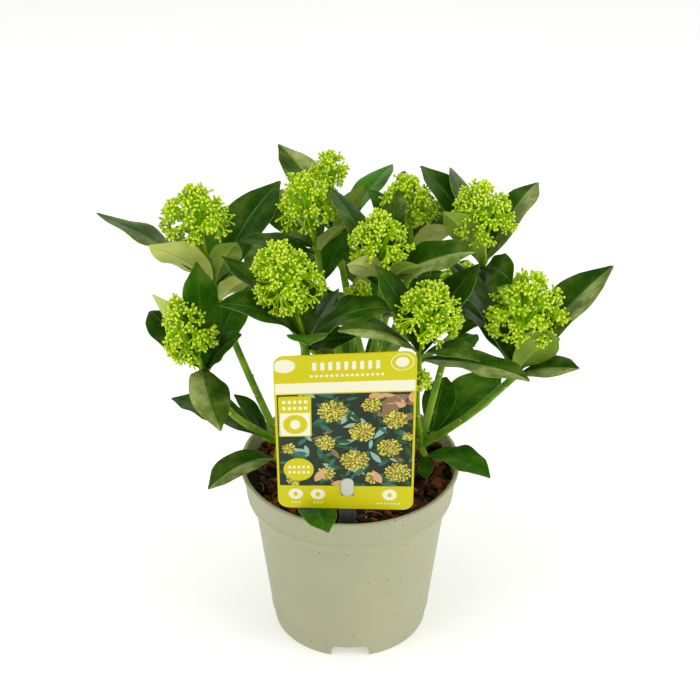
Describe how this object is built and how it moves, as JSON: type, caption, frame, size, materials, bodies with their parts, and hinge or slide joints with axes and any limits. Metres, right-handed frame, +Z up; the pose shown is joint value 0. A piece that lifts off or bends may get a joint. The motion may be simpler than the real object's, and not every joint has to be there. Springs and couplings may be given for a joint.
{
  "type": "potted japanese skimmia",
  "caption": "Bushy evergreen shrub with domed heads of pale green flower buds over whorls of dark glossy leaves, in a round nursery pot with a plant label.",
  "frame": {"origin": "middle of the pot's flat underside", "axes": "+Z up, +X to the right of the label's face, -Y towards the side that the label faces"},
  "size_m": [0.2915, 0.2213, 0.2912],
  "materials": {
    "pot": "satin moulded plastic, dusty",
    "compost": "damp peat and bark chips",
    "bark": "young brown-green bark",
    "stem": "smooth green stems with leaf scars",
    "foliage": "leathery glossy leaves and pale lime buds",
    "label": "printed glossy plastic card",
    "holder": "clear grey plastic"
  },
  "bodies": {
    "root": {"pot": "pot", "compost": "compost", "label_card": "label", "label_holder": "holder", "trunk": "bark", "bough_left": "bark", "bough_right": "bark", "bough_middle": "bark", "bough_back": "bark", "stem_far_left": "stem", "stem_low_left": "stem", "stem_front_left": "stem", "stem_top_left": "stem", "stem_top_back": "stem", "stem_front_middle": "stem", "stem_top_right": "stem", "stem_far_right": "stem", "stem_front_right": "stem", "stem_low_right": "stem", "stem_inner": "stem", "stem_back_left": "stem", "stem_back_middle": "stem", "stem_back_right": "stem", "foliage_far_left": "foliage", "foliage_low_left": "foliage", "foliage_front_left": "foliage", "foliage_top_left": "foliage", "foliage_top_back": "foliage", "foliage_front_middle": "foliage", "foliage_top_right": "foliage", "foliage_far_right": "foliage", "foliage_front_right": "foliage", "foliage_low_right": "foliage", "foliage_inner": "foliage", "foliage_back_left": "foliage", "foliage_back_middle": "foliage", "foliage_back_right": "foliage", "low_leaves_left": "foliage", "low_leaves_far_left": "foliage", "low_leaves_right": "foliage", "low_leaves_far_right": "foliage", "low_leaves_front": "foliage", "low_leaves_back": "foliage"}
  },
  "joints": []
}
